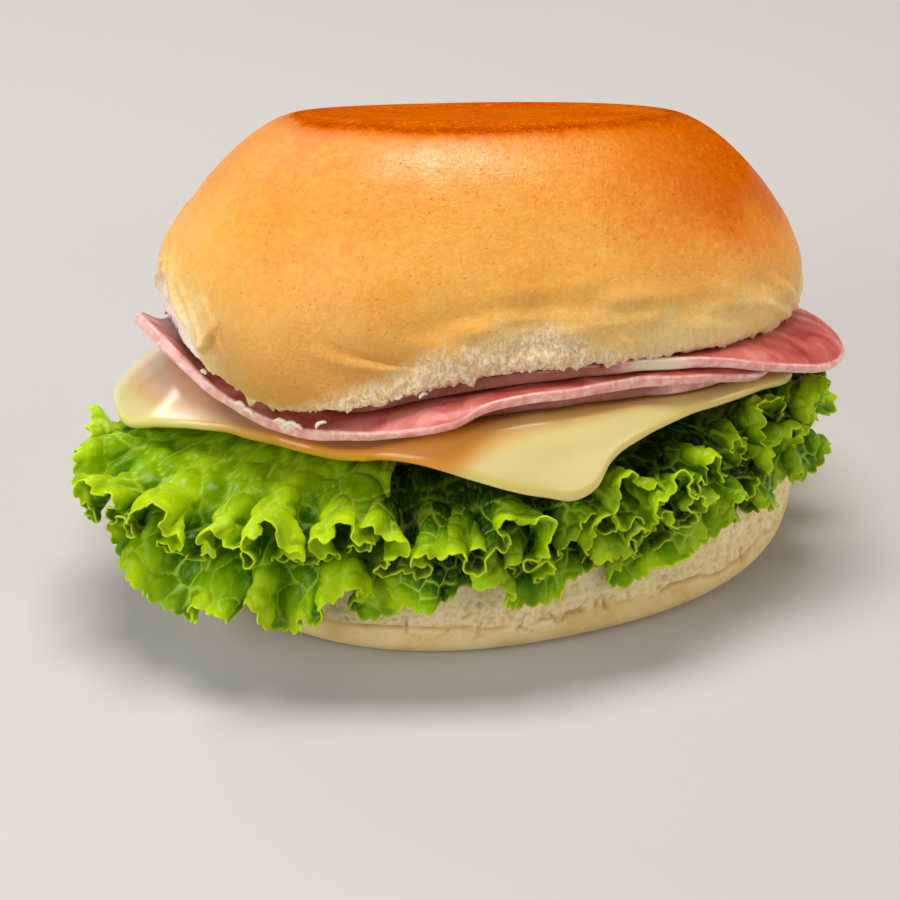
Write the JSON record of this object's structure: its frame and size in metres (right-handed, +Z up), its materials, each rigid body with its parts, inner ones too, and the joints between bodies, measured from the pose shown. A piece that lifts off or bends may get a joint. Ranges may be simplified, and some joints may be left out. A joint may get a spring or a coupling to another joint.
{
  "type": "ham and cheese roll",
  "caption": "Soft oval milk roll cut in two and filled with cooked ham, a soft white cheese slice and frilled green lettuce.",
  "frame": {"origin": "middle of the flat base of the lower half of the roll, on the surface it stands on", "axes": "+Z up, +X along the length of the oval roll toward its right end in the picture, -Y toward the front side that the picture shows"},
  "size_m": [0.1515, 0.1187, 0.0922],
  "materials": {
    "pale_crust": "matte",
    "golden_crust": "satin",
    "ham": "moist satin",
    "cheese": "soft gloss",
    "lettuce": "satin"
  },
  "bodies": {
    "root": {"heel": "pale_crust", "crown": "golden_crust", "ham_1": "ham", "ham_2": "ham", "ham_3": "ham", "cheese": "cheese", "leaf_1": "lettuce", "leaf_2": "lettuce", "leaf_3": "lettuce", "leaf_4": "lettuce", "leaf_5": "lettuce", "leaf_6": "lettuce", "leaf_7": "lettuce", "leaf_8": "lettuce"}
  },
  "joints": []
}
